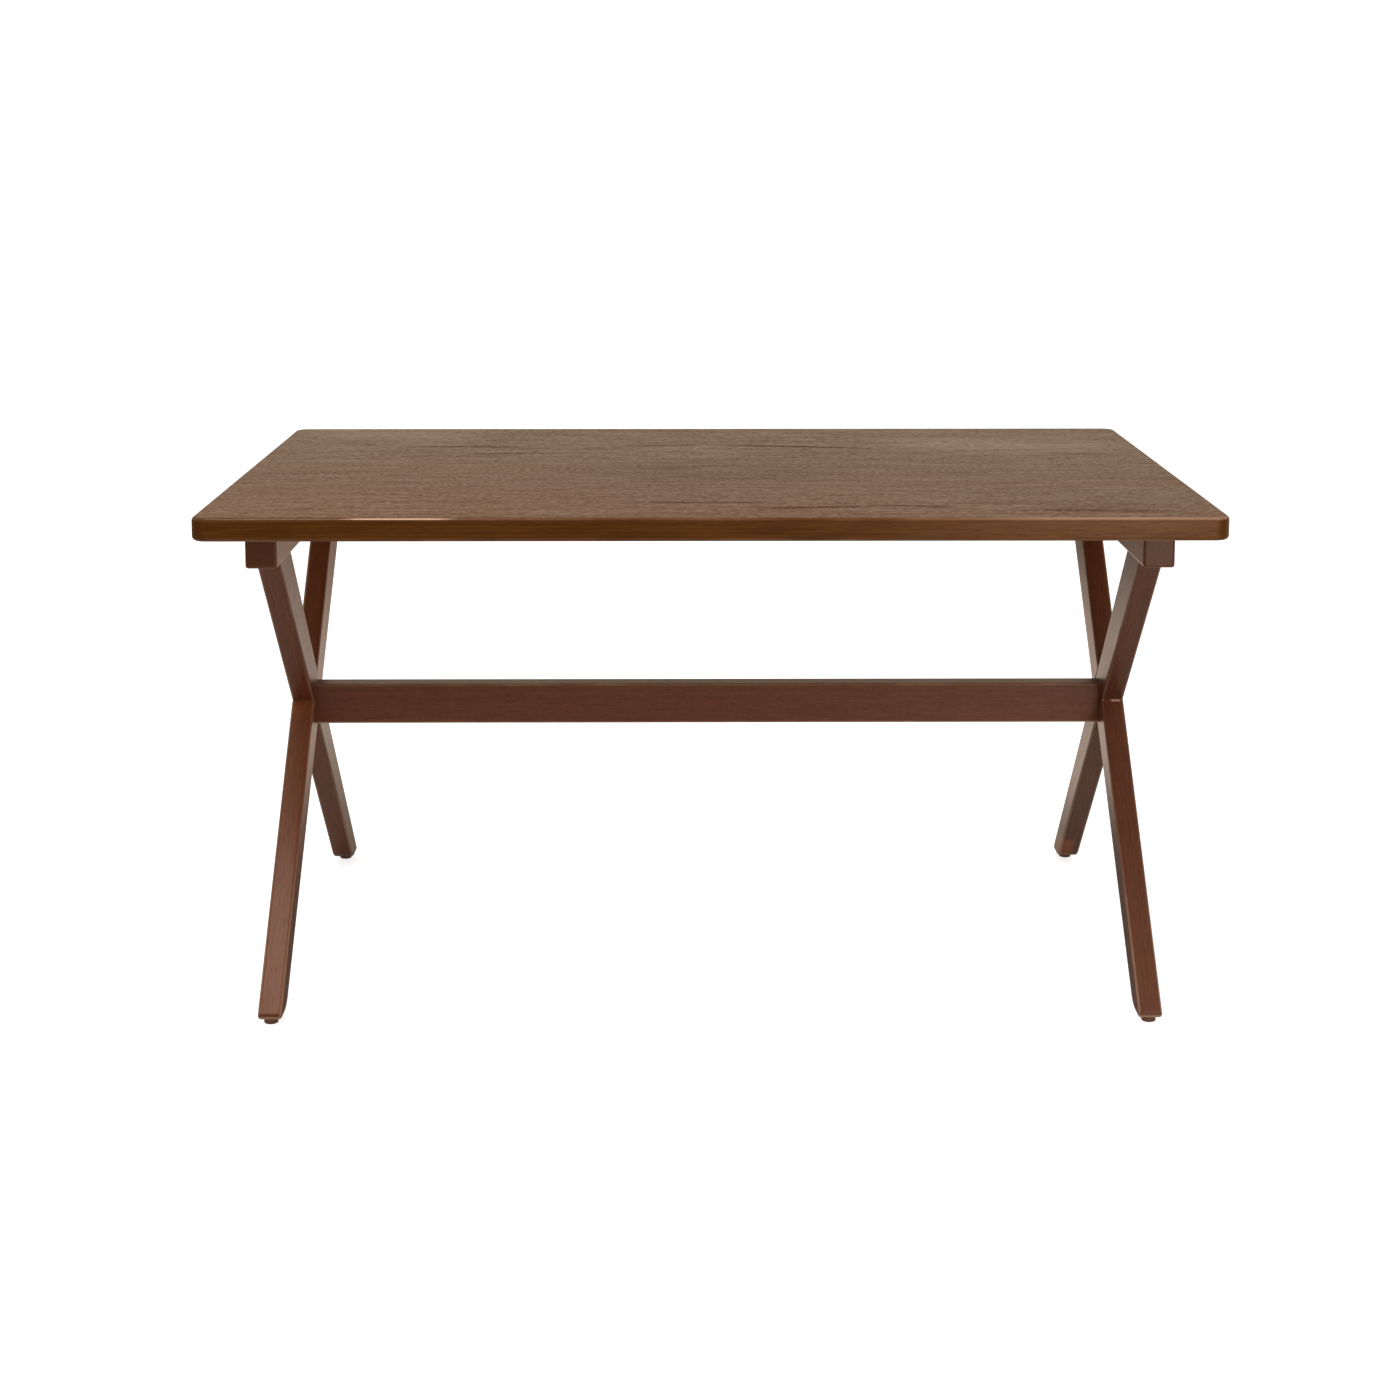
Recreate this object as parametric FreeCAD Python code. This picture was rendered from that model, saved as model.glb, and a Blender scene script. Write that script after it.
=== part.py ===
import FreeCAD, Part
import math
import os

# Sawbuck dining table: an edge-glued top on two crossed-leg trestles tied by one stretcher.
# Millimetres. Origin on the floor under the middle of the top, +X along the table to the right,
# +Y to the rear, +Z up. The right-hand trestle is the left-hand one turned half round about Z.

# Table top
table_height = 735.0
top_length = 1400.0
top_depth = 900.0
top_thickness = 33.0
top_corner_radius = 21.0
top_edge_radius = 6.0
board_count = 7

# Where the trestles stand under the top
trestle_inset = 80.0
cleat_setback = 85.0

# Cleats, screwed under the top across its boards
cleat_width = 44.0
cleat_height = 53.0
cleat_edge_radius = 4.0

# Crossed legs, half-lapped into one plane, tapering from the cleat to the foot.
# The two cuts are the leg's level lengths under the cleat and on the glide.
leg_thickness = 34.0
leg_top_cut = 96.0
leg_foot_cut = 55.0
leg_setback = 52.0
leg_edge_radius = 4.5
toe_radius = 6.0
heel_radius = 45.0
crossing_height = 381.0

# Stretcher between the two crossings
stretcher_height = 62.0
stretcher_thickness = 34.0
stretcher_drop = 11.0
stretcher_edge_radius = 3.0

# Nail-on glides under the feet
glide_diameter = 20.0
glide_thickness = 8.0
glide_setback = 24.0
glide_edge_radius = 1.5
nail_diameter = 2.5
nail_length = 18.0
nail_head_diameter = 6.0
nail_head_thickness = 1.2
nail_head_recess = 3.0

# Wooden dowels
dowel_diameter = 10.0
dowel_chamfer = 1.0
leg_dowel_length = 50.0
leg_dowel_spacing = 38.0
stretcher_dowel_grip = 26.0
stretcher_dowel_spacing = 28.0
dowel_cover = 8.0

# Connector bolt and barrel nut at each end of the stretcher
bolt_diameter = 6.0
bolt_head_diameter = 15.0
bolt_head_thickness = 2.5
bolt_head_edge = 1.0
bolt_key = 4.0
bolt_key_depth = 1.6
bolt_tail = 3.0
barrel_setback = 40.0
barrel_diameter = 10.0
barrel_length = 14.0
barrel_slot_width = 1.4
barrel_slot_depth = 1.8

# Bolts, washers and threaded inserts that hold the top on the cleats
top_bolt_head_diameter = 10.0
top_bolt_head_thickness = 6.0
top_bolt_key = 5.0
top_bolt_key_depth = 3.0
top_bolt_grip = 13.0
washer_diameter = 14.0
washer_thickness = 1.6
counterbore_diameter = 17.0
counterbore_depth = 24.0
insert_diameter = 10.0
insert_length = 16.0
movement_slot = 6.0

# Fits, all on the radius or at a blind end
hole_clearance = 0.3
snug_clearance = 0.1
end_clearance = 0.3

# Levels and places that follow from the sizes above
top_underside = table_height - top_thickness
cleat_underside = top_underside - cleat_height
cleat_length = top_depth - 2 * cleat_setback
trestle_x = top_length / 2 - trestle_inset
stretcher_level = crossing_height - stretcher_drop
joint_level = (stretcher_level + crossing_height) / 2
stretcher_length = 2 * trestle_x - leg_thickness
bolt_radius = bolt_diameter / 2

# The top's bolts along one cleat, the outer ones in the middle of the setback past the legs.
# Each place has the slot that its hole is given so that the top can move with the seasons.
outer_bolt_y = cleat_length / 2 - leg_setback / 2
top_bolt_places = [(-outer_bolt_y, movement_slot), (0.0, 0.0), (outer_bolt_y, movement_slot)]

# The legs lean so that their upper ends stop one setback short of the cleat's ends.
leg_rise = cleat_underside - crossing_height
leg_reach = cleat_length / 2 - leg_setback - leg_top_cut / 2
leg_slope = leg_reach / leg_rise
leg_taper = (leg_top_cut - leg_foot_cut) / (cleat_underside - glide_thickness)

X_AXIS = FreeCAD.Vector(1, 0, 0)
Y_AXIS = FreeCAD.Vector(0, 1, 0)
Z_AXIS = FreeCAD.Vector(0, 0, 1)
ORIGIN = FreeCAD.Vector(0, 0, 0)


def centred_box(x_size, y_size, z_size, centre):
    """A box about its middle point."""
    corner = centre - FreeCAD.Vector(x_size, y_size, z_size) / 2
    return Part.makeBox(x_size, y_size, z_size, corner)


def edges_where(shape, test):
    """The edges of a shape whose two ends both pass a test."""
    chosen = []
    for edge in shape.Edges:
        if all(test(vertex.Point) for vertex in edge.Vertexes):
            chosen.append(edge)
    return chosen


def near(a, b):
    return abs(a - b) < 1e-4


def half_turn(shape):
    """The same piece on the other trestle."""
    turned = shape.copy()
    turned.rotate(ORIGIN, Z_AXIS, 180)
    return turned


def on_both_trestles(solids):
    return solids + [half_turn(solid) for solid in solids]


def rounded_outline(corners):
    """A closed face in the YZ plane from (y, z, radius) corners, each rounded by its radius."""
    points = [FreeCAD.Vector(0, y, z) for y, z, radius in corners]
    edges = []
    starts = []
    ends = []
    for index, (y, z, radius) in enumerate(corners):
        corner = points[index]
        back = (points[index - 1] - corner).normalize()
        ahead = (points[(index + 1) % len(points)] - corner).normalize()
        half_angle = back.getAngle(ahead) / 2
        run = radius / math.tan(half_angle)
        starts.append(corner + back * run)
        ends.append(corner + ahead * run)
        if radius > 0:
            middle_way = (back + ahead).normalize()
            middle = corner + middle_way * (radius / math.sin(half_angle) - radius)
            edges.append(Part.Arc(starts[-1], middle, ends[-1]).toShape())
    for index in range(len(points)):
        edges.append(Part.LineSegment(ends[index - 1], starts[index]).toShape())
    return Part.Face(Part.Wire(Part.__sortEdges__(edges)))


def hex_socket(across_flats, depth):
    """A hexagonal key socket that opens downwards at Z 0."""
    corner_radius = across_flats / math.sqrt(3)
    turns = [math.radians(60 * step) for step in range(7)]
    points = [FreeCAD.Vector(corner_radius * math.cos(a), corner_radius * math.sin(a), 0) for a in turns]
    return Part.Face(Part.makePolygon(points)).extrude(Z_AXIS * depth)


def obround(diameter, slot, depth, base):
    """An upright hole that is lengthened by a slot along Y."""
    radius = diameter / 2
    hole = Part.makeCylinder(radius, depth, base)
    if slot == 0:
        return hole
    for side in (-1, 1):
        end = base + Y_AXIS * (side * slot / 2)
        hole = hole.fuse(Part.makeCylinder(radius, depth, end))
    middle = base + FreeCAD.Vector(0, 0, depth / 2)
    return hole.fuse(centred_box(diameter, slot, depth, middle)).removeSplitter()


def dowel(length, start, axis):
    """A plain dowel with chamfered ends."""
    pin = Part.makeCylinder(dowel_diameter / 2, length, start, axis)
    rims = [edge for edge in pin.Edges if edge.Closed]
    return pin.makeChamfer(dowel_chamfer, rims)


def dowel_hole(length, start, axis):
    """The hole for a dowel, longer than it by the end clearance at both ends."""
    base = start - axis * end_clearance
    return Part.makeCylinder(dowel_diameter / 2 + snug_clearance, length + 2 * end_clearance, base, axis)


def make_top_boards():
    """The edge-glued top as its boards, front to rear, with holes for the inserts."""
    middle = FreeCAD.Vector(0, 0, table_height - top_thickness / 2)
    slab = centred_box(top_length, top_depth, top_thickness, middle)
    uprights = [edge for edge in slab.Edges if near(edge.Vertexes[0].X, edge.Vertexes[1].X)
                and near(edge.Vertexes[0].Y, edge.Vertexes[1].Y)]
    slab = slab.makeFillet(top_corner_radius, uprights)
    rims = edges_where(slab, lambda p: near(p.z, table_height))
    rims += edges_where(slab, lambda p: near(p.z, top_underside))
    slab = slab.makeFillet(top_edge_radius, rims)
    for side in (-1, 1):
        for y, slot in top_bolt_places:
            base = FreeCAD.Vector(side * trestle_x, y, top_underside)
            radius = insert_diameter / 2 + snug_clearance
            slab = slab.cut(Part.makeCylinder(radius, insert_length + end_clearance, base))
    board_width = top_depth / board_count
    boards = []
    for number in range(board_count):
        y = -top_depth / 2 + (number + 0.5) * board_width
        strip = centred_box(top_length, board_width, top_thickness, FreeCAD.Vector(0, y, middle.z))
        boards.append(slab.common(strip))
    return boards


def leg_side(z, lean, face):
    """The Y of a leg's front (-1) or rear (1) narrow face, or of its middle line (0), at a level."""
    cut = leg_foot_cut + (z - glide_thickness) * leg_taper
    return lean * (z - crossing_height) * leg_slope + face * cut / 2


def leg_bar(x_low, x_high, lean):
    """A leg's plain bar from glide to cleat, between two planes across X."""
    ends = ((glide_thickness, -1), (glide_thickness, 1), (cleat_underside, 1), (cleat_underside, -1))
    corners = [(leg_side(z, lean, face), z, 0.0) for z, face in ends]
    bar = rounded_outline(corners).extrude(X_AXIS * (x_high - x_low))
    bar.translate(X_AXIS * x_low)
    return bar


def leg_dowel_places(lean):
    """The Y of the two dowels in a leg's upper end, kept inside the leaning leg."""
    middle = leg_side(cleat_underside - leg_dowel_length / 4, lean, 0)
    return [middle - leg_dowel_spacing / 2, middle + leg_dowel_spacing / 2]


def foot_place(lean):
    """The middle of a glide's upper face, one setback behind the toe."""
    y = leg_side(glide_thickness, lean, -lean) + lean * glide_setback
    return FreeCAD.Vector(-trestle_x, y, glide_thickness)


def stretcher_dowel_starts():
    """The blind ends, inside the left crossing, of the dowels that key the stretcher."""
    x = -trestle_x - leg_thickness / 2 + dowel_cover
    levels = [joint_level - stretcher_dowel_spacing / 2, joint_level + stretcher_dowel_spacing / 2]
    return [FreeCAD.Vector(x, 0, z) for z in levels]


def stretcher_dowel_length():
    return leg_thickness - dowel_cover + stretcher_dowel_grip


def connector_bolt_hole(length):
    """The bolt's clearance hole, inwards from the left trestle's outer face."""
    base = FreeCAD.Vector(-trestle_x - leg_thickness / 2, 0, joint_level)
    return Part.makeCylinder(bolt_radius + hole_clearance, length, base, X_AXIS)


def make_left_leg(lean, lap_side):
    """A leg of the left trestle. Lean 1 puts its foot in front; lap_side is the half kept at the lap."""
    x_outer = -trestle_x - leg_thickness / 2
    x_inner = -trestle_x + leg_thickness / 2
    corners = [
        (leg_side(cleat_underside, lean, -1), cleat_underside, 0.0),
        (leg_side(cleat_underside, lean, 1), cleat_underside, 0.0),
        (leg_side(glide_thickness, lean, 1), glide_thickness, heel_radius if lean > 0 else toe_radius),
        (leg_side(glide_thickness, lean, -1), glide_thickness, toe_radius if lean > 0 else heel_radius),
    ]
    leg = rounded_outline(corners).extrude(X_AXIS * leg_thickness)
    leg.translate(X_AXIS * x_outer)
    arrises = edges_where(leg, lambda p: near(p.x, x_outer))
    arrises += edges_where(leg, lambda p: near(p.x, x_inner))
    arrises = [edge for edge in arrises if not near(edge.CenterOfMass.z, cleat_underside)]
    leg = leg.makeFillet(leg_edge_radius, arrises)
    if lap_side == "inner":
        notch = leg_bar(x_outer, -trestle_x, -lean)
    else:
        notch = leg_bar(-trestle_x, x_inner, -lean)
    leg = leg.cut(notch)
    for y in leg_dowel_places(lean):
        start = FreeCAD.Vector(-trestle_x, y, cleat_underside - leg_dowel_length / 2)
        leg = leg.cut(dowel_hole(leg_dowel_length, start, Z_AXIS))
    for start in stretcher_dowel_starts():
        leg = leg.cut(dowel_hole(stretcher_dowel_length(), start, X_AXIS))
    leg = leg.cut(connector_bolt_hole(leg_thickness))
    pilot = Part.makeCylinder(nail_diameter / 2 + snug_clearance, nail_length, foot_place(lean))
    return leg.cut(pilot)


def make_left_cleat():
    """The left cleat, bored for the leg dowels and counterbored from below for the top's bolts."""
    middle = FreeCAD.Vector(-trestle_x, 0, cleat_underside + cleat_height / 2)
    cleat = centred_box(cleat_width, cleat_length, cleat_height, middle)
    eased = [edge for edge in cleat.Edges if not near(edge.BoundBox.ZMin, top_underside)]
    cleat = cleat.makeFillet(cleat_edge_radius, eased)
    for lean in (-1, 1):
        for y in leg_dowel_places(lean):
            start = FreeCAD.Vector(-trestle_x, y, cleat_underside - leg_dowel_length / 2)
            cleat = cleat.cut(dowel_hole(leg_dowel_length, start, Z_AXIS))
    for y, slot in top_bolt_places:
        base = FreeCAD.Vector(-trestle_x, y, cleat_underside)
        cleat = cleat.cut(obround(counterbore_diameter, slot, counterbore_depth, base))
        cleat = cleat.cut(obround(bolt_diameter + 2 * hole_clearance, slot, cleat_height, base))
    return cleat


def make_stretcher():
    """The stretcher between the inner faces of the two crossings."""
    middle = FreeCAD.Vector(0, 0, stretcher_level)
    rail = centred_box(stretcher_length, stretcher_thickness, stretcher_height, middle)
    arrises = [edge for edge in rail.Edges if near(edge.BoundBox.XLength, stretcher_length)]
    rail = rail.makeFillet(stretcher_edge_radius, arrises)
    holes = [connector_bolt_hole(connector_bolt_length() + end_clearance)]
    holes += [dowel_hole(stretcher_dowel_length(), start, X_AXIS) for start in stretcher_dowel_starts()]
    top_of_hole = joint_level + barrel_length / 2 + end_clearance
    depth = top_of_hole - (stretcher_level - stretcher_height / 2)
    base = FreeCAD.Vector(barrel_x(), 0, top_of_hole - depth)
    holes.append(Part.makeCylinder(barrel_diameter / 2 + snug_clearance, depth, base))
    for hole in on_both_trestles(holes):
        rail = rail.cut(hole)
    return rail


def barrel_x():
    """The X of the left barrel nut, set back from the stretcher's end."""
    return -stretcher_length / 2 + barrel_setback


def connector_bolt_length():
    return leg_thickness + barrel_setback + barrel_diameter / 2 + bolt_tail


def make_left_connector_bolt():
    """The flat-headed bolt through the left crossing, its head on the outer face."""
    head = Part.makeCylinder(bolt_head_diameter / 2, bolt_head_thickness)
    outer_rim = [edge for edge in head.Edges if edge.Closed and near(edge.CenterOfMass.z, 0)]
    head = head.makeFillet(bolt_head_edge, outer_rim)
    head = head.cut(hex_socket(bolt_key, bolt_key_depth))
    shank_base = FreeCAD.Vector(0, 0, bolt_head_thickness)
    bolt = head.fuse(Part.makeCylinder(bolt_radius, connector_bolt_length(), shank_base))
    bolt.rotate(ORIGIN, Y_AXIS, 90)
    bolt.translate(FreeCAD.Vector(-trestle_x - leg_thickness / 2 - bolt_head_thickness, 0, joint_level))
    return bolt


def make_left_barrel_nut():
    """The cross nut in the stretcher, with a slot in its lower end to turn it by."""
    base = FreeCAD.Vector(barrel_x(), 0, joint_level - barrel_length / 2)
    nut = Part.makeCylinder(barrel_diameter / 2, barrel_length, base)
    across = FreeCAD.Vector(barrel_x() - barrel_diameter, 0, joint_level)
    nut = nut.cut(Part.makeCylinder(bolt_radius + snug_clearance, 2 * barrel_diameter, across, X_AXIS))
    slot_middle = base + Z_AXIS * (barrel_slot_depth / 2)
    return nut.cut(centred_box(2 * barrel_diameter, barrel_slot_width, barrel_slot_depth, slot_middle))


def make_left_top_fixing(y):
    """One bolt, washer and insert that hold the top down on the left cleat."""
    seat = cleat_underside + counterbore_depth
    washer_base = FreeCAD.Vector(-trestle_x, y, seat - washer_thickness)
    washer = Part.makeCylinder(washer_diameter / 2, washer_thickness, washer_base)
    washer = washer.cut(Part.makeCylinder(bolt_radius + hole_clearance, washer_thickness, washer_base))
    head = Part.makeCylinder(top_bolt_head_diameter / 2, top_bolt_head_thickness)
    head = head.cut(hex_socket(top_bolt_key, top_bolt_key_depth))
    shank_length = washer_thickness + cleat_height - counterbore_depth + top_bolt_grip
    shank_base = FreeCAD.Vector(0, 0, top_bolt_head_thickness)
    bolt = head.fuse(Part.makeCylinder(bolt_radius, shank_length, shank_base))
    bolt.translate(washer_base - Z_AXIS * top_bolt_head_thickness)
    insert_base = FreeCAD.Vector(-trestle_x, y, top_underside)
    insert = Part.makeCylinder(insert_diameter / 2, insert_length, insert_base)
    insert = insert.cut(Part.makeCylinder(bolt_radius + snug_clearance, insert_length, insert_base))
    return bolt, washer, insert


def make_left_glide(lean):
    """A round glide under a foot, recessed from below for its nail's head."""
    base = foot_place(lean) - Z_AXIS * glide_thickness
    glide = Part.makeCylinder(glide_diameter / 2, glide_thickness, base)
    lower_rim = [edge for edge in glide.Edges if edge.Closed and near(edge.CenterOfMass.z, 0)]
    glide = glide.makeFillet(glide_edge_radius, lower_rim)
    glide = glide.cut(Part.makeCylinder(nail_head_diameter / 2 + hole_clearance, nail_head_recess, base))
    return glide.cut(Part.makeCylinder(nail_diameter / 2 + snug_clearance, glide_thickness, base))


def make_left_nail(lean):
    """The nail of a glide, its head up in the recess."""
    head_top = foot_place(lean) - Z_AXIS * (glide_thickness - nail_head_recess)
    head_base = head_top - Z_AXIS * nail_head_thickness
    head = Part.makeCylinder(nail_head_diameter / 2, nail_head_thickness, head_base)
    return head.fuse(Part.makeCylinder(nail_diameter / 2, nail_length, head_top))


def make_left_leg_dowels():
    dowels = []
    for lean in (-1, 1):
        for y in leg_dowel_places(lean):
            start = FreeCAD.Vector(-trestle_x, y, cleat_underside - leg_dowel_length / 2)
            dowels.append(dowel(leg_dowel_length, start, Z_AXIS))
    return dowels


def make_pieces():
    """Every piece of the table by its node's name."""
    pieces = {}
    for number, board in enumerate(make_top_boards(), start=1):
        pieces["top_board_%d" % number] = [board]

    cleat = make_left_cleat()
    pieces["left_cleat"] = [cleat]
    pieces["right_cleat"] = [half_turn(cleat)]

    # A leg with its foot in front passes inside at the left lap, so its twin on the right stands behind.
    front_leg = make_left_leg(1, "inner")
    rear_leg = make_left_leg(-1, "outer")
    pieces["left_front_leg"] = [front_leg]
    pieces["left_rear_leg"] = [rear_leg]
    pieces["right_rear_leg"] = [half_turn(front_leg)]
    pieces["right_front_leg"] = [half_turn(rear_leg)]

    pieces["stretcher"] = [make_stretcher()]
    pieces["stretcher_bolts"] = on_both_trestles([make_left_connector_bolt()])
    pieces["stretcher_barrel_nuts"] = on_both_trestles([make_left_barrel_nut()])
    keys = [dowel(stretcher_dowel_length(), start, X_AXIS) for start in stretcher_dowel_starts()]
    pieces["stretcher_dowels"] = on_both_trestles(keys)
    pieces["leg_dowels"] = on_both_trestles(make_left_leg_dowels())

    fixings = [make_left_top_fixing(y) for y, slot in top_bolt_places]
    for name, solids in zip(("top_bolts", "top_washers", "top_inserts"), zip(*fixings)):
        pieces[name] = on_both_trestles(list(solids))

    front_glide = make_left_glide(1)
    rear_glide = make_left_glide(-1)
    pieces["left_front_glide"] = [front_glide]
    pieces["left_rear_glide"] = [rear_glide]
    pieces["right_rear_glide"] = [half_turn(front_glide)]
    pieces["right_front_glide"] = [half_turn(rear_glide)]
    pieces["glide_nails"] = on_both_trestles([make_left_nail(1), make_left_nail(-1)])
    return pieces


os.makedirs("parts", exist_ok=True)
for node, solids in make_pieces().items():
    shape = solids[0] if len(solids) == 1 else Part.makeCompound(solids)
    shape.exportStep("parts/%s.step" % node)
    print("%-22s %2d solids %12.1f mm3 valid %s" % (node, len(shape.Solids), shape.Volume, shape.isValid()))
print("leg angle from upright: %.2f degrees" % math.degrees(math.atan(leg_slope)))
print("glide centres at Y %.2f and X %.2f" % (foot_place(-1).y, trestle_x))
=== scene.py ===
import math

import bpy
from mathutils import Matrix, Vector


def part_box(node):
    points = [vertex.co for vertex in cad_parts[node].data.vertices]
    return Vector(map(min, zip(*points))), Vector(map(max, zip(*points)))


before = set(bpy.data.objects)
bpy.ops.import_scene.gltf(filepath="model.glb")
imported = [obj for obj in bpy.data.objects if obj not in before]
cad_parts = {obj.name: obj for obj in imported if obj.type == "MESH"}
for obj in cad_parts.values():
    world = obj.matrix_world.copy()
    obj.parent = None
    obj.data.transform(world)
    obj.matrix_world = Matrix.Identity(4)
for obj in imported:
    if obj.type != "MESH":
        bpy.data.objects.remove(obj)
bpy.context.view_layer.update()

RIGHT = (1, 0, 0)
LEFT = (-1, 0, 0)
REAR = (0, 1, 0)
FRONT = (0, -1, 0)
UP = (0, 0, 1)

# Sizes of the table, in metres: from the frame where a node's box shows them, or else as the CAD model has
# them. A leg's half width is taken at the crossing, and lessens along the leg by its taper.
board_low, board_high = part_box("top_board_1")
leg_low, leg_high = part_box("right_front_leg")
TOP_HALF_LENGTH = board_high.x
TOP_HALF_DEPTH = -board_low.y
TOP_HALF_THICKNESS = (board_high.z - board_low.z) / 2
TRESTLE_X = (leg_low.x + leg_high.x) / 2
LEG_HALF_THICKNESS = (leg_high.x - leg_low.x) / 2
BOARD_COUNT = 7
TOP_CORNER = 0.021
LEG_HALF_WIDTH = 0.0280
LEG_TAPER = 0.0162
LEG_ANGLE = math.radians(44.68)
CROSSING_HEIGHT = 0.381
ARRIS = 0.004

# Stains of the wood: dark, middle and light, and what they come to in end grain and in pores.
FRAME_STAINS = {
    "dark": (0.055, 0.0150, 0.0076, 1),
    "middle": (0.110, 0.0322, 0.0130, 1),
    "light": (0.166, 0.0542, 0.0205, 1),
    "end_grain": (0.070, 0.0200, 0.0050, 1),
    "pores": (0.034, 0.0092, 0.0028, 1),
}
TOP_STAINS = {
    "dark": (0.042, 0.0135, 0.0016, 1),
    "middle": (0.084, 0.0285, 0.0028, 1),
    "light": (0.124, 0.0455, 0.0065, 1),
    "end_grain": (0.062, 0.0215, 0.0016, 1),
    "pores": (0.030, 0.0085, 0.0014, 1),
}
# The lighter colour of arrises: partly wear, partly painted highlight. The frame's upper faces take it as
# painted sheen, and chipped lacquer at a seam takes it too.
ARRIS_WEAR_AND_HIGHLIGHT = (0.500, 0.360, 0.280, 1)

# Colours of the other finishes.
BEECH = {"dark": (0.44, 0.26, 0.13, 1), "light": (0.60, 0.40, 0.22, 1), "fleck": (0.32, 0.17, 0.08, 1)}
ZINC = {"dull": (0.42, 0.43, 0.43, 1), "bright": (0.62, 0.62, 0.60, 1), "grime": (0.24, 0.23, 0.21, 1)}
BRONZE = {
    "dull": (0.075, 0.052, 0.036, 1),
    "bright": (0.15, 0.105, 0.070, 1),
    "grime": (0.03, 0.022, 0.016, 1),
}
NYLON = {"dark": (0.075, 0.028, 0.010, 1), "light": (0.125, 0.050, 0.020, 1), "scuff": (0.11, 0.085, 0.07, 1)}
FLOOR_PAINT = {"lit": (0.90, 0.91, 0.92, 1), "dark": (0.24, 0.21, 0.18, 1), "seen": (0.66, 0.77, 0.96, 1)}
FLOOR_GLOW = {"none": (0, 0, 0, 1), "mirrored": (0.86, 0.63, 0.53, 1), "seen": (0.72, 0.72, 0.72, 1)}
ZINC_ROUGHNESS = 0.34
BRONZE_ROUGHNESS = 0.40

# Colours of the light.
ROOM_LIGHT = (1.0, 0.86, 0.685, 1)
BACKDROP_LIGHT = (1, 1, 1, 1)
SOFTBOX_LIGHT = (1.0, 0.84, 0.72)

# Weight and roughness of the lacquer, and the sheen of the wood under it.
FULL_COAT = 0.30
THIN_COAT = 0.20
COAT_ROUGHNESS = 0.34
TOP_SHEEN = 0.10
FRAME_SHEEN = 0.16

# Each member is cut from its own place in a tree, which its seed gives. The boards' seeds are their numbers.
CLEAT_SEED = 11
STRETCHER_SEED = 15
LEG_SEED = 21
TREE_STEPS = (3.71, 0.83, 1.37)
PITH_TURN = 2.399

# Radians a metre across the growth rings, which makes a ring about 5.5 mm wide.
RING_PHASE = 1150

# Noise in the wood: cells a metre along the grain and across it, detail, and roughness.
PITH_WANDER = (1.3, 4, 2.0, 0.5)
RING_RIPPLE = (5, 60, 3.0, 0.5)
BROAD_SHADE = (0.9, 9, 2.0, 0.5)
RIBBONS = (2.6, 48, 3.0, 0.6)
DASHES = (130, 260, 1.0, 0.6)
LINES = (8, 110, 2.0, 0.6)
FIBRES = (16, 420, 3.0, 0.62)
PORES = (62, 1150, 1.0, 0.5)
WORN_SPOTS = (14, 14, 3.0, 0.5)
SMEARS = (4, 9, 3.0, 0.5)

# Streaks of the top's figure: start and end on the top, half width, and how dark, or light below zero. The
# last three, the broad ones, are painted light instead: the two lighter ones at the rear are painted sheen,
# and the dark one across the middle is painted shade.
TOP_MARKS = [
    ((-0.50, 0.234), (-0.28, 0.222), 0.0045, 0.32),
    ((-0.16, 0.231), (-0.01, 0.243), 0.0040, 0.28),
    ((0.02, 0.242), (0.26, 0.207), 0.0050, 0.42),
    ((-0.39, 0.147), (-0.21, 0.154), 0.0040, 0.28),
    ((0.06, -0.377), (0.23, -0.357), 0.0045, 0.34),
    ((0.22, -0.350), (0.34, -0.364), 0.0050, 0.34),
    ((0.42, -0.387), (0.66, -0.405), 0.0080, 0.17),
    ((-0.13, -0.329), (0.10, -0.324), 0.0080, 0.20),
    ((0.52, 0.156), (0.65, 0.136), 0.0060, 0.17),
    ((0.28, 0.262), (0.70, 0.215), 0.0850, -0.11),
    ((-0.70, 0.420), (-0.36, 0.330), 0.0800, -0.09),
    ((-0.24, -0.030), (0.24, -0.050), 0.1200, 0.05),
]

# Stretches of the top's front upper arris that carry a painted highlight: from and to along X, half the
# length in which each fades, its breadth in arrises, and how much.
FRONT_ARRIS_HIGHLIGHTS = [
    (-0.48, -0.36, 0.025, 0.9, 12.0),
    (0.36, 0.78, 0.18, 1.6, 2.8),
]

# How far the arrises are painted lighter: partly worn by use, partly a painted highlight along the rounded
# arrises.
BOARD_WEAR_AND_HIGHLIGHT = 0.22
CLEAT_WEAR_AND_HIGHLIGHT = 0.18
STRETCHER_WEAR_AND_HIGHLIGHT = 1.0
LEG_WEAR_AND_HIGHLIGHT = 0.45

# How members of the frame differ: how much lighter the wood's colour is, which is partly painted shade set
# for how each member is lit, the weight of its lacquer, and how strongly its figure shows. Each leg is named
# for where its foot stands, and leg_finish says what its marks are.
CLEAT_LOOKS = {"shade": 0.12}
STRETCHER_LOOKS = {"shade": -0.03, "coat": 0.22, "figure": 0.4}
LEG_FIGURE = 0.6
LEG_LOOKS = {
    "left_front": {"shade": 0.16, "coat": FULL_COAT, "low_side_shade": 0.20, "lap": 0.35},
    "left_rear": {"shade": -0.18, "coat": THIN_COAT},
    "right_front": {"shade": -0.08, "coat": FULL_COAT, "low_side_shade": 0.20, "seam": 0.75},
    "right_rear": {"shade": -0.34, "coat": THIN_COAT, "heel": 1.0},
}

# Softboxes: name, place, what each is turned to, width and height, and watts.
SOFTBOXES = [
    ("left_softbox", (-0.89, -1.17, 2.8), (-0.62, -0.28, 0.1), (0.55, 0.95), 26),
    ("right_softbox", (1.5, -1.9, 1.8), (0.65, -0.45, 0.70), (0.65, 0.65), 12),
    ("low_softbox", (1.0, -2.25, 0.40), (0.66, -0.45, 0.57), (0.75, 0.65), 7.5),
]


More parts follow.
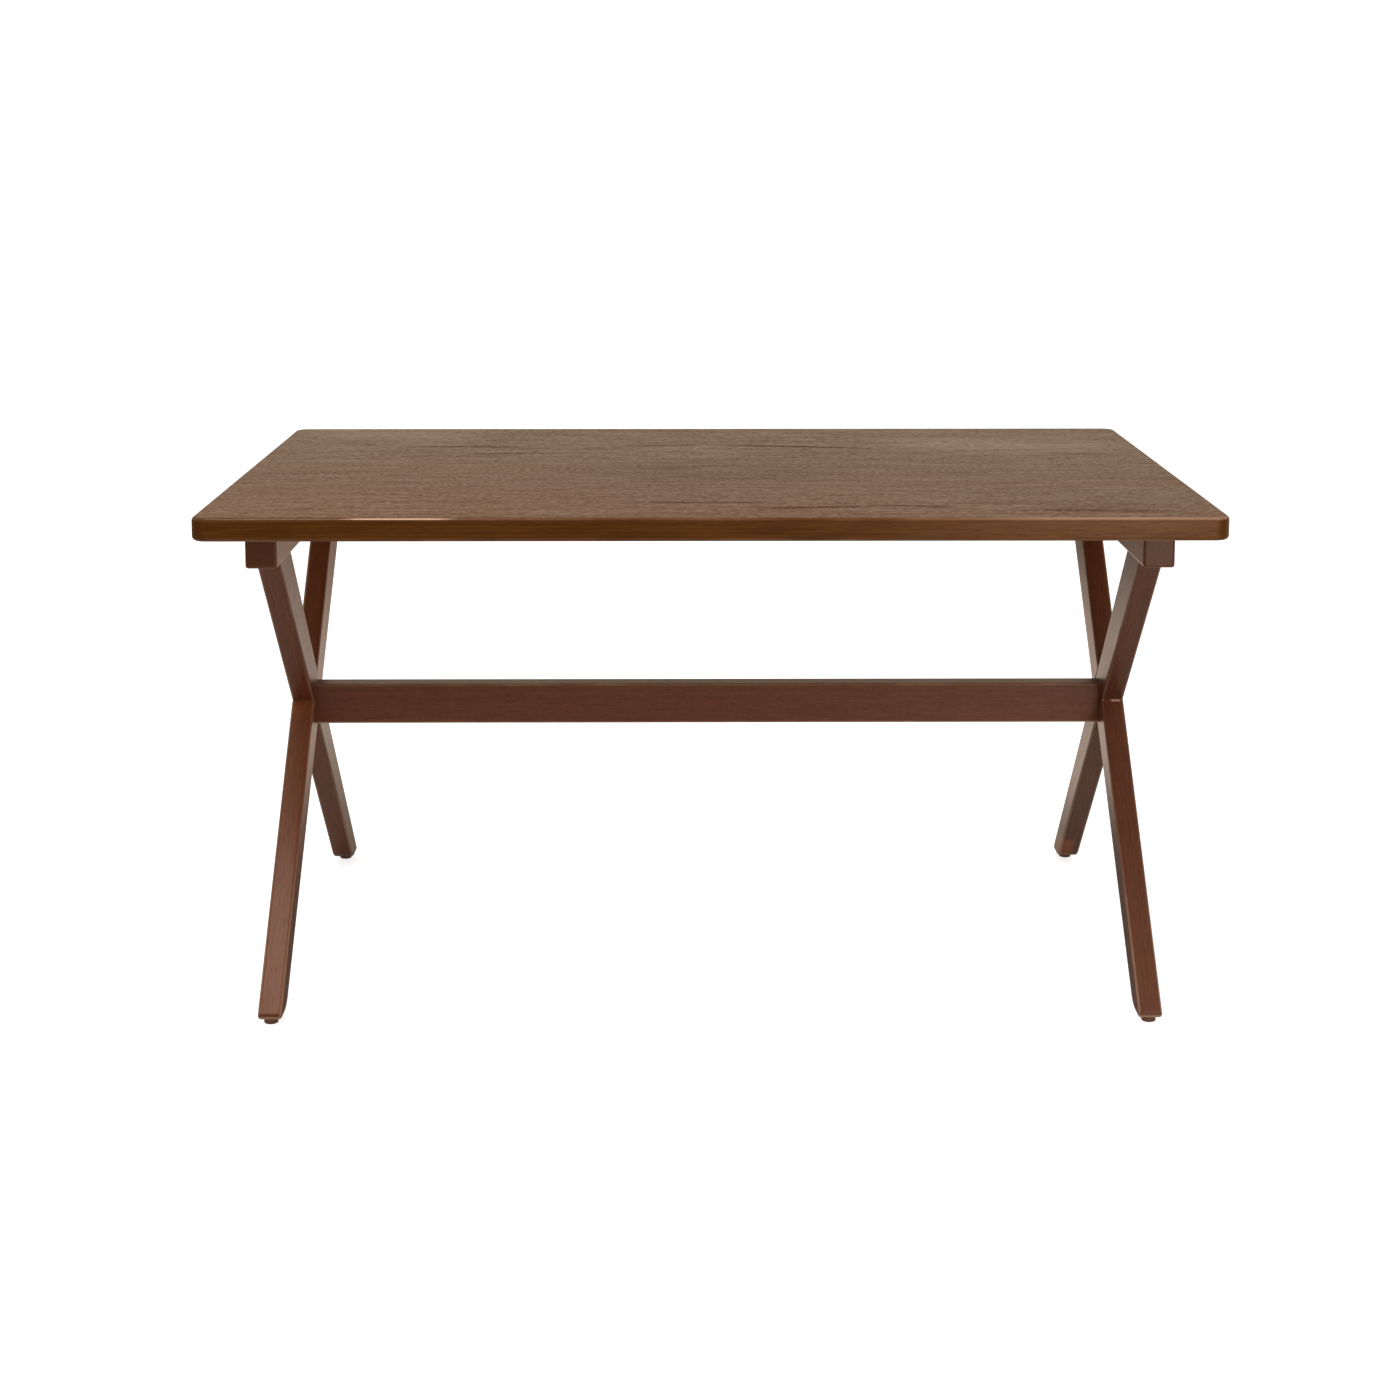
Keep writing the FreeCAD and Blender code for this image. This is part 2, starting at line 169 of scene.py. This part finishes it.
class Value:
    """A shader socket, so that a finish's maths reads as ordinary expressions."""

    def __init__(self, finish, socket):
        self.finish = finish
        self.socket = socket

    def maths(self, operation, *terms):
        return self.finish.add("Math", {"operation": operation}, dict(enumerate(terms)))

    def __add__(self, other):
        return self.maths("ADD", self, other)

    def __sub__(self, other):
        return self.maths("SUBTRACT", self, other)

    def __rsub__(self, other):
        return self.maths("SUBTRACT", other, self)

    def __mul__(self, other):
        return self.maths("MULTIPLY", self, other)

    def __pow__(self, other):
        return self.maths("POWER", self, other)

    def __rpow__(self, other):
        return self.maths("POWER", other, self)

    def __abs__(self):
        return self.maths("ABSOLUTE", self)

    __radd__ = __add__
    __rmul__ = __mul__


class Finish:
    """A tree of shader nodes, of a material or of the studio's light."""

    def __init__(self, tree):
        self.tree = tree
        tree.nodes.clear()

    def add(self, kind, settings=None, sockets=None, output=0):
        """One node: its settings are set first, then the values or links of its sockets."""
        node = self.tree.nodes.new("ShaderNode" + kind)
        for name, value in (settings or {}).items():
            setattr(node, name, value)
        for key, value in (sockets or {}).items():
            if isinstance(value, Value):
                self.tree.links.new(value.socket, node.inputs[key])
            else:
                node.inputs[key].default_value = value
        return Value(self, node.outputs[output]) if node.outputs else None

    def place(self):
        """A point of the piece, in the frame."""
        return self.add("TexCoord", None, None, "Object")

    def along(self, place, direction):
        """How far a place lies along a direction."""
        return self.add("VectorMath", {"operation": "DOT_PRODUCT"}, {0: place, 1: direction}, "Value")

    def point(self, x, y, z):
        return self.add("CombineXYZ", None, {0: x, 1: y, 2: z})

    def step(self, value, low, high):
        """Rises smoothly from 0 at low to 1 at high."""
        return self.add("MapRange", {"interpolation_type": "SMOOTHSTEP"}, {0: value, 1: low, 2: high})

    def fall(self, value, low, high):
        """Falls smoothly from 1 at low to 0 at high."""
        return 1 - self.step(value, low, high)

    def cloud(self, place, detail=2.0, roughness=0.5):
        """Soft noise about zero, from -0.5 to 0.5."""
        sockets = {"Vector": place, "Scale": 1.0, "Detail": detail, "Roughness": roughness}
        return self.add("TexNoise", None, sockets) - 0.5

    def blend(self, share, first, second):
        """Two colours, mixed."""
        return self.add("Mix", {"data_type": "RGBA"}, {0: share, 6: first, 7: second}, 2)

    def largest(self, first, second):
        return first.maths("MAXIMUM", first, second)

    def sine(self, value):
        return value.maths("SINE", value)


def new_finish(name):
    material = bpy.data.materials.new(name)
    material.use_nodes = True
    return material, Finish(material.node_tree)


def close_finish(finish, sockets, height=None, strength=0.2, distance=0.0002):
    """Ends a finish in its surface shader, with a bump where it has a height."""
    if height is not None:
        bump = {"Height": height, "Strength": strength, "Distance": distance}
        sockets = dict(sockets, Normal=finish.add("Bump", None, bump))
    surface = finish.add("BsdfPrincipled", None, sockets)
    finish.add("OutputMaterial", None, {"Surface": surface})


class Timber:
    """Brown stained hardwood under satin lacquer, as one member has it. grain and face are the directions of
    the member's length and of its broad face. shade makes it lighter or darker, coat is the weight of its
    lacquer, and figure says how strongly its rings, ribbons and worn spots show. A member's own marks then
    add to its tone, lacquer and roughness."""

    def __init__(self, name, stains, grain, face, middle, seed, shade=0.0, coat=FULL_COAT, figure=1.0):
        self.material, self.finish = new_finish(name)
        finish = self.finish
        self.stains = stains
        self.figure = figure
        self.grain = Vector(grain)
        self.place = finish.place()
        self.normal = finish.add("NewGeometry", None, None, "Normal")
        from_middle = finish.add("VectorMath", {"operation": "SUBTRACT"}, {0: self.place, 1: middle})
        axes = (self.grain, Vector(face).cross(self.grain), face)
        offsets = [finish.along(from_middle, axis) for axis in axes]
        self.length, self.width, self.depth = offsets
        self.u, self.v, self.w = (offset + seed * step for offset, step in zip(offsets, TREE_STEPS))

        # Fibres and pores are drawn out along the grain.
        self.late_wood = self.growth_rings(seed)
        self.ribbon = self.noise(*RIBBONS)
        self.dashes = self.noise(*DASHES)
        self.fibre = self.noise(*FIBRES)
        pore_field = self.noise(*PORES) - self.late_wood * 0.03 + self.ribbon * 0.08
        self.pores = finish.step(pore_field, 0.10, 0.22)

        # The lacquer lies thinner over coarse fibres, which breaks up its sheen.
        self.lacquer = coat + self.fibre * 0.3
        self.roughness = 0.36 + self.pores * 0.16
        broad = self.noise(*BROAD_SHADE)
        banding = self.ribbon * 0.42 - (self.late_wood - 0.4) * 0.14
        self.tone = 0.5 + shade + broad * 0.30 + self.fibre * 0.35 + banding * figure

    def noise(self, along, across, detail, roughness):
        """Noise of so many cells a metre along the grain and across it."""
        cells = self.finish.point(self.u * along, self.v * across, self.w * across)
        return self.finish.cloud(cells, detail, roughness)

    def growth_rings(self, seed):
        """The dark late wood of rings about a pith that runs a little askew to the member."""
        turn = seed * PITH_TURN
        pith_side = 0.11 * math.cos(turn)
        pith_face = 0.09 + 0.03 * math.sin(turn)
        skew = 0.012 * math.sin(turn * 1.7)
        wander = self.noise(*PITH_WANDER)
        ring_side = self.width - self.length * skew + wander * 0.020 - pith_side
        ring_face = self.depth - self.length * skew * 0.6 + wander * 0.012 - pith_face
        radius = (ring_side * ring_side + ring_face * ring_face) ** 0.5
        ripple = self.noise(*RING_RIPPLE)
        rings = self.finish.sine(radius * RING_PHASE + ripple * 3.2)
        return (rings * 0.5 + 0.5) ** 2.2

    def facing(self, direction, low, high):
        """1 where the surface faces a direction."""
        return self.finish.step(self.finish.along(self.normal, direction), low, high)

    def facing_either_way(self, direction, low, high):
        """1 where the surface faces a direction or its opposite."""
        return self.finish.step(abs(self.finish.along(self.normal, direction)), low, high)

    def stain(self, end_grain):
        """The colour that the tone gives. End grain drinks more stain."""
        finish = self.finish
        colour = finish.blend(finish.step(self.tone, 0.0, 0.62), self.stains["dark"], self.stains["middle"])
        colour = finish.blend(finish.step(self.tone, 0.38, 1.05), colour, self.stains["light"])
        colour = finish.blend(self.pores * 0.55, colour, self.stains["pores"])
        return finish.blend(end_grain * 0.80, colour, self.stains["end_grain"])

    def wear_and_highlight_spots(self):
        """How much an arris is painted lighter from place to place: spots worn by cloths and hands, over a
        steady part that is painted highlight.
        """
        spots = self.finish.step(self.noise(*WORN_SPOTS), -0.16, 0.30)
        return spots * (0.7 * self.figure) + (0.42 - 0.30 * self.figure)

    def close(self, colour, end_grain, arris, sheen):
        """Ends the finish. Arrises are smoother than the faces, and end grain is rougher."""
        smear = self.noise(*SMEARS)
        sockets = {
            "Base Color": colour,
            "Roughness": self.roughness + smear * 0.14 + end_grain * 0.08 - arris * 0.16,
            "Specular IOR Level": sheen,
            "Coat Weight": self.lacquer,
            "Coat Roughness": COAT_ROUGHNESS,
        }
        height = self.fibre * 0.35 - self.pores * 0.8 + self.late_wood * 0.12
        close_finish(self.finish, sockets, height, 0.28, 0.0005)
        return self.material


def streak(finish, x, y, start, end, half_width, strength):
    """A streak from one point of the top to another. The slender ones are the top's figure; the broad ones
    are painted sheen and painted shade.
    """
    slope = (end[1] - start[1]) / (end[0] - start[0])
    middle = (start[0] + end[0]) / 2
    reach = (end[0] - start[0]) / 2
    off = (y - (x - start[0]) * slope - start[1]) * (1 / half_width)
    fade = finish.fall(abs(x - middle), reach * 0.35, reach * 1.15)
    return math.e ** (off * off * -1) * fade * strength


def draw_top_figure(wood, x, y):
    """The top's open grain and streaks, with broad patches of painted sheen and painted shade, and the
    feathered front edge. The upper face is painted a little lighter than the edge, and the edge is painted
    darker on the left as shade, under thinner lacquer.
    """
    finish = wood.finish
    upper = wood.facing(UP, 0.6, 0.95)
    front_edge = wood.facing(FRONT, 0.6, 0.95)
    # The front edge's left part: painted darker as shade, and under thinner lacquer.
    shaded_dull_edge = front_edge * finish.fall(x, 0.05, 0.45)
    lines = wood.noise(*LINES)
    grained = (wood.dashes * 0.78 + lines * 0.46) * upper
    feather = finish.cloud(finish.point(wood.u * 12 - wood.w * 60, wood.w * 90, 0), 3.0)
    # Painted light and shade: the upper face is painted a little lighter than the front edge, and the edge is
    # painted darker on the left.
    edge_tone = front_edge * (feather * 0.7 + 0.10) - shaded_dull_edge * 0.20
    wood.tone = wood.tone + grained + upper * 0.09 + edge_tone
    wood.lacquer = wood.lacquer + grained * 1.6 + wood.ribbon * 0.4 + y * 0.12 - shaded_dull_edge * 0.12 - 0.07
    wood.roughness = wood.roughness - grained * 0.4
    wavy = y + finish.cloud(finish.point(x * 7, y * 6, 0), 2.0) * 0.016
    # The broad marks are painted sheen and painted shade; the slender ones are streaks of the figure.
    for start, end, half_width, strength in TOP_MARKS:
        mark = streak(finish, x, wavy, start, end, half_width, strength) * upper
        wood.tone = wood.tone - mark * 2.4
        wood.lacquer = wood.lacquer - mark * 0.8
        wood.roughness = wood.roughness + mark * 0.9


def top_rim_wear_and_highlights(wood, x, y):
    """The arrises round the top, and how much lighter they are painted: worn in spots over a steady painted
    highlight all round, and strong painted highlights along two stretches of the front.
    """
    finish = wood.finish
    out_x = finish.largest(abs(wood.length) - (TOP_HALF_LENGTH - TOP_CORNER), 0.0)
    out_y = finish.largest(abs(y) - (TOP_HALF_DEPTH - TOP_CORNER), 0.0)
    rim = (out_x * out_x + out_y * out_y) ** 0.5

    def crest(height, inner, outer):
        near_rim = finish.step(rim, TOP_CORNER - inner, TOP_CORNER - outer)
        return near_rim * finish.step(height, TOP_HALF_THICKNESS - inner, TOP_HALF_THICKNESS - outer)

    arris = crest(abs(wood.depth), 1.6 * ARRIS, 0.1 * ARRIS)
    rub_and_highlight = wood.wear_and_highlight_spots()
    at_front = finish.step(y * -1, 0.3, 0.4)
    # Painted highlights along two stretches of the front arris, standing in for light on its rounding.
    for low, high, ramp, breadth, strength in FRONT_ARRIS_HIGHLIGHTS:
        stretch = finish.step(x, low - ramp, low + ramp) * finish.fall(x, high - ramp, high + ramp)
        highlight_band = crest(wood.depth, breadth * ARRIS, breadth * ARRIS / 3)
        rub_and_highlight = rub_and_highlight + stretch * highlight_band * at_front * strength
    return arris, rub_and_highlight


def board_finish(board, seed):
    """Finish of one board of the top. The lacquer sinks into its end grain."""
    middle, _ = middle_and_halves(board)
    wood = Timber(f"{board}_stained", TOP_STAINS, RIGHT, UP, middle, seed)
    x = wood.finish.along(wood.place, RIGHT)
    y = wood.finish.along(wood.place, REAR)
    draw_top_figure(wood, x, y)
    end_grain = wood.facing_either_way(wood.grain, 0.10, 0.32)
    wood.lacquer = wood.lacquer - end_grain * 0.26
    arris, rub_and_highlight = top_rim_wear_and_highlights(wood, x, y)
    # The arrises are painted lighter: wear, and painted highlight.
    colour = wood.finish.blend(arris * rub_and_highlight * BOARD_WEAR_AND_HIGHLIGHT, wood.stain(end_grain), ARRIS_WEAR_AND_HIGHLIGHT)
    return wood.close(colour, end_grain, arris, TOP_SHEEN)


class FrameTimber(Timber):
    """Wood of a cleat, a leg or the stretcher. Its upper face is painted lighter, as painted sheen, under a
    thinner and rougher lacquer.
    """

    def __init__(self, name, grain, face, middle, seed, **looks):
        super().__init__(name, FRAME_STAINS, grain, face, middle, seed, **looks)
        self.upward = self.facing(UP, 0.8, 1.0)
        # Painted sheen: the upper face is painted lighter, and its lacquer is thinner and rougher.
        self.tone = self.tone + self.dashes * 0.30 + self.upward * 0.60
        self.lacquer = self.lacquer - self.upward * 0.18
        self.roughness = self.roughness + self.upward * 0.12

    def arrises(self, half_width, half_thickness, taper=0.0):
        """1 along the arrises, and less on the upper face, which so also takes the arrises' lighter colour as
        painted sheen. The half width lessens along a tapered member.
        """
        finish = self.finish
        off_middle = abs(self.width) + self.length * taper
        near_side = finish.step(off_middle, half_width - ARRIS, half_width - 0.1 * ARRIS)
        near_face = finish.step(abs(self.depth), half_thickness - ARRIS, half_thickness - 0.1 * ARRIS)
        return finish.largest(near_side * near_face, self.upward * 0.7)

    def close_worn_and_highlit(self, arris, wear_and_highlight, chipped=None):
        """Ends the finish with its arrises painted lighter, for wear and as painted highlight, and with its
        lacquer chipped where that is given.
        """
        end_grain = self.facing_either_way(self.grain, 0.22, 0.55)
        colour = self.finish.blend(wear_and_highlight, self.stain(end_grain), ARRIS_WEAR_AND_HIGHLIGHT)
        if chipped is not None:
            colour = self.finish.blend(chipped, colour, ARRIS_WEAR_AND_HIGHLIGHT)
        return self.close(colour, end_grain, arris, FRAME_SHEEN)


def cleat_finish(cleat, seed):
    middle, halves = middle_and_halves(cleat)
    wood = FrameTimber(f"{cleat}_stained", REAR, UP, middle, seed, **CLEAT_LOOKS)
    arris = wood.arrises(halves.x, halves.z)
    return wood.close_worn_and_highlit(arris, arris * wood.wear_and_highlight_spots() * CLEAT_WEAR_AND_HIGHLIGHT)


def stretcher_finish():
    middle, halves = middle_and_halves("stretcher")
    wood = FrameTimber("stretcher_stained", RIGHT, FRONT, middle, STRETCHER_SEED, **STRETCHER_LOOKS)
    arris = wood.arrises(halves.z, halves.y)
    return wood.close_worn_and_highlit(arris, arris * wood.wear_and_highlight_spots() * STRETCHER_WEAR_AND_HIGHLIGHT)


def leg_finish(foot, seed, shade, coat, seam=0.0, lap=0.0, heel=0.0, low_side_shade=0.0):
    """Finish of the leg whose foot stands there. seam is how far its lacquer is chipped where its lap shows
    at the front, lap how much lighter a band under that seam is painted, as painted highlight, heel how much
    lighter the heel is painted, as painted light thrown up from the floor, and low_side_shade how much darker
    its sides are painted near the foot, as painted shade, under thinner and rougher lacquer."""
    side, end = foot.split("_")
    lean = -1 if end == "front" else 1
    middle = (-TRESTLE_X if side == "left" else TRESTLE_X, 0, CROSSING_HEIGHT)
    grain = (0, lean * math.sin(LEG_ANGLE), -math.cos(LEG_ANGLE))
    looks = {"shade": shade, "coat": coat, "figure": LEG_FIGURE}
    wood = FrameTimber(f"{foot}_leg_stained", grain, RIGHT, middle, seed, **looks)
    finish = wood.finish
    z = finish.along(wood.place, UP)
    in_front = finish.step(finish.along(wood.place, FRONT), 0.030, 0.034)
    # Painted highlight: a band just under the seam is painted lighter.
    if lap:
        under_seam = finish.step(z, CROSSING_HEIGHT - 0.026, CROSSING_HEIGHT - 0.006)
        wood.tone = wood.tone + under_seam * in_front * lap
    # Painted light: the heel is painted lighter, for light thrown up from the floor.
    if heel:
        wood.tone = wood.tone + finish.fall(z, 0.044, 0.060) * finish.fall(wood.depth, -0.004, 0.010) * heel
    # Painted shade: the sides near the foot are painted darker, under thinner and rougher lacquer.
    if low_side_shade:
        low_side = wood.facing_either_way(RIGHT, 0.8, 1.0) * finish.fall(z, 0.16, 0.32) * low_side_shade
        wood.tone = wood.tone - low_side * 2
        wood.lacquer = wood.lacquer - low_side
        wood.roughness = wood.roughness + low_side

    # The foot's edge counts as an arris, and arrises are painted lighter most near the floor: worn there,
    # and painted highlight along the lower arrises and the toe.
    foot_edge = finish.fall(z, 0.0105, 0.0150)
    arris = finish.largest(wood.arrises(LEG_HALF_WIDTH, LEG_HALF_THICKNESS, LEG_TAPER), foot_edge)
    rub_and_highlight = wood.wear_and_highlight_spots() + finish.fall(z, 0.02, 0.30) * 0.7
    chipped = None
    if seam:
        at_seam = finish.step(z, CROSSING_HEIGHT - 0.0036, CROSSING_HEIGHT - 0.0022)
        flakes = finish.cloud(finish.point(wood.u * 90, wood.v * 90, wood.w * 170), 2.0)
        chipped = at_seam * finish.step(flakes, -0.12, 0.10) * in_front * seam
    return wood.close_worn_and_highlit(arris, arris * rub_and_highlight * LEG_WEAR_AND_HIGHLIGHT, chipped)


def in_frame(finish):
    """A point of the piece as its three lengths from the frame's origin."""
    place = finish.place()
    return (finish.along(place, axis) for axis in (RIGHT, REAR, UP))


def beech_finish():
    """Plain beech of the dowels, with its short flecks."""
    material, finish = new_finish("dowel_beech")
    x, y, z = in_frame(finish)
    fleck = finish.step(finish.cloud(finish.point(x * 260, y * 420, z * 260), 2.0), 0.10, 0.20)
    tone = finish.step(finish.cloud(finish.point(x * 40, y * 60, z * 40), 3.0), -0.25, 0.25)
    colour = finish.blend(tone, BEECH["dark"], BEECH["light"])
    colour = finish.blend(fleck * 0.6, colour, BEECH["fleck"])
    sockets = {"Base Color": colour, "Roughness": 0.58 + fleck * 0.1}
    close_finish(finish, sockets, fleck * -1, distance=0.0004)
    return material


def steel_finish(name, colours, roughness):
    """Plated or bronzed steel: clouded plating, and dark turned scratches."""
    material, finish = new_finish(name)
    x, y, z = in_frame(finish)
    clouded = finish.cloud(finish.point(x * 190, y * 190, z * 190), 4.0, 0.6)
    scratch = finish.cloud(finish.point(x * 2600, y * 500, z * 500), 2.0)
    colour = finish.blend(finish.step(clouded, -0.22, 0.22), colours["dull"], colours["bright"])
    colour = finish.blend(finish.step(scratch, 0.12, 0.24) * 0.5, colour, colours["grime"])
    uneven = roughness + clouded * 0.22 + scratch * 0.12
    sockets = {"Base Color": colour, "Metallic": 1.0, "Roughness": uneven}
    close_finish(finish, sockets, scratch, strength=0.12)
    return material


def nylon_finish():
    """Brown moulded nylon of the glides, scuffed where it meets the floor."""
    material, finish = new_finish("glide_nylon")
    x, y, z = in_frame(finish)
    speckle = finish.cloud(finish.point(x * 900, y * 900, z * 900), 2.0)
    scuff = finish.step(finish.cloud(finish.point(x * 320, y * 90, z * 90), 3.0), 0.05, 0.25)
    low_down = finish.fall(z, 0.0005, 0.0030)
    colour = finish.blend(speckle + 0.5, NYLON["dark"], NYLON["light"])
    colour = finish.blend(scuff * low_down * 0.7, colour, NYLON["scuff"])
    sockets = {"Base Color": colour, "Roughness": 0.5 + speckle * 0.2 + scuff * 0.1}
    close_finish(finish, sockets, speckle)
    return material


def middle_and_halves(node):
    """The middle of a node's box, and its half sizes."""
    low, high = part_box(node)
    return (low + high) / 2, (high - low) / 2


def dress(node, material):
    """Gives a CAD node its finish."""
    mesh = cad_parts[node].data
    mesh.materials.clear()
    mesh.materials.append(material)


def dress_table():
    for number in range(1, BOARD_COUNT + 1):
        board = f"top_board_{number}"
        dress(board, board_finish(board, number))
    for seed, cleat in enumerate(("left_cleat", "right_cleat"), start=CLEAT_SEED):
        dress(cleat, cleat_finish(cleat, seed))
    dress("stretcher", stretcher_finish())
    nylon = nylon_finish()
    for seed, (foot, looks) in enumerate(LEG_LOOKS.items(), start=LEG_SEED):
        dress(f"{foot}_leg", leg_finish(foot, seed, **looks))
        dress(f"{foot}_glide", nylon)
    beech = beech_finish()
    for node in ("stretcher_dowels", "leg_dowels"):
        dress(node, beech)
    zinc = steel_finish("zinc_plate", ZINC, ZINC_ROUGHNESS)
    for node in ("stretcher_barrel_nuts", "top_bolts", "top_washers", "top_inserts", "glide_nails"):
        dress(node, zinc)
    dress("stretcher_bolts", steel_finish("bronzed_bolt", BRONZE, BRONZE_ROUGHNESS))


def floor_finish():
    """Pale paint. It glows for the camera, so that the table's shadow stays faint, and is a cool white there,
    which the warm light makes neutral. What the table mirrors of it is painted light and shade: it glows
    behind the table, is painted a little darker on the left, and is painted dark further off, for the dark
    of the room."""
    material, finish = new_finish("pale_floor")
    seen = finish.add("LightPath", None, None, "Is Camera Ray")
    mirrored = finish.add("LightPath", None, None, "Is Glossy Ray")
    place = finish.place()
    away = finish.add("VectorMath", {"operation": "LENGTH"}, {0: place}, "Value")
    behind = finish.step(finish.along(place, REAR), 0.45, 0.95)
    lit_right = finish.step(finish.along(place, RIGHT), 0.4, 1.6)
    right_half = finish.step(finish.along(place, RIGHT), -0.25, 0.25)
    dark_room = finish.step(away - right_half * behind * 0.6, 1.5, 3.2) * (1 - lit_right)
    shaded_left = mirrored * (1 - right_half) * finish.fall(away, 0.8, 1.4) * 0.32
    dimmed = finish.largest(dark_room * (1 - seen), shaded_left)
    paint = finish.blend(dimmed, FLOOR_PAINT["lit"], FLOOR_PAINT["dark"])
    paint = finish.blend(seen, paint, FLOOR_PAINT["seen"])
    lit_sweep = mirrored * behind * (1 - dark_room) * (0.26 + right_half * 0.74)
    glow = finish.blend(lit_sweep, FLOOR_GLOW["none"], FLOOR_GLOW["mirrored"])
    glow = finish.blend(seen, glow, FLOOR_GLOW["seen"])
    sockets = {
        "Base Color": paint,
        "Roughness": 0.9,
        "Specular IOR Level": 0.1,
        "Emission Color": glow,
        "Emission Strength": 1.0,
    }
    close_finish(finish, sockets)
    material.cycles.emission_sampling = "NONE"
    return material


def lay_floor():
    """A plain pale floor, far wider than the view."""
    reach = 60.0
    corners = [(-reach, -reach, 0), (reach, -reach, 0), (reach, reach, 0), (-reach, reach, 0)]
    mesh = bpy.data.meshes.new("pale_floor")
    mesh.from_pydata(corners, [], [(0, 1, 2, 3)])
    mesh.materials.append(floor_finish())
    floor = bpy.data.objects.new("pale_floor", mesh)
    bpy.context.scene.collection.objects.link(floor)


def light_room():
    """A warm even room, brighter overhead and on the left, with a white backdrop for the camera."""
    world = bpy.data.worlds.new("studio")
    bpy.context.scene.world = world
    world.use_nodes = True
    room = Finish(world.node_tree)
    heading = room.add("TexCoord", None, None, "Generated")
    overhead = room.step(room.along(heading, (0, 0.4, 0.917)), 0.45, 1.0)
    left_wall = room.step(room.along(heading, LEFT), 0.2, 1.0)
    walls = 0.55 + overhead * 0.46 + left_wall * 0.45
    tent = room.add("Background", None, {"Color": ROOM_LIGHT, "Strength": walls})
    backdrop = room.add("Background", None, {"Color": BACKDROP_LIGHT, "Strength": 1.05})
    seen = room.add("LightPath", None, None, "Is Camera Ray")
    shown = room.add("MixShader", None, {0: seen, 1: tent, 2: backdrop})
    room.add("OutputWorld", None, {"Surface": shown})


def hang_softbox(name, place, aim, size, power):
    """A softbox in front of the table, turned to what it lights."""
    lamp = bpy.data.lights.new(name, "AREA")
    lamp.shape = "RECTANGLE"
    lamp.size, lamp.size_y = size
    lamp.energy = power
    lamp.color = SOFTBOX_LIGHT
    softbox = bpy.data.objects.new(name, lamp)
    softbox.location = place
    softbox.rotation_euler = (Vector(aim) - Vector(place)).to_track_quat("-Z", "Y").to_euler()
    softbox.visible_camera = False
    bpy.context.scene.collection.objects.link(softbox)


def stand_camera():
    """The photograph's camera, from its fit to the table's edges in a frame of 1400 by 1400 pixels."""
    frame_pixels = 1400
    focal_pixels = 2369.71
    centre_pixel = (699.5, 430.0)
    pitch, yaw = math.radians(7.685), math.radians(0.361)
    lens = bpy.data.cameras.new("photograph")
    lens.sensor_width = 36.0
    lens.lens = focal_pixels / frame_pixels * lens.sensor_width
    lens.shift_x = 0.5 - centre_pixel[0] / frame_pixels
    lens.shift_y = centre_pixel[1] / frame_pixels - 0.5
    lens.clip_end = 200.0
    camera = bpy.data.objects.new("photograph", lens)
    camera.location = (-0.03561, -3.58137, 1.27609)
    camera.rotation_euler = (math.radians(90) - pitch, 0, -yaw)
    bpy.context.scene.collection.objects.link(camera)
    bpy.context.scene.camera = camera


dress_table()
lay_floor()
light_room()
for softbox in SOFTBOXES:
    hang_softbox(*softbox)
stand_camera()
bpy.context.scene.view_settings.view_transform = "Standard"
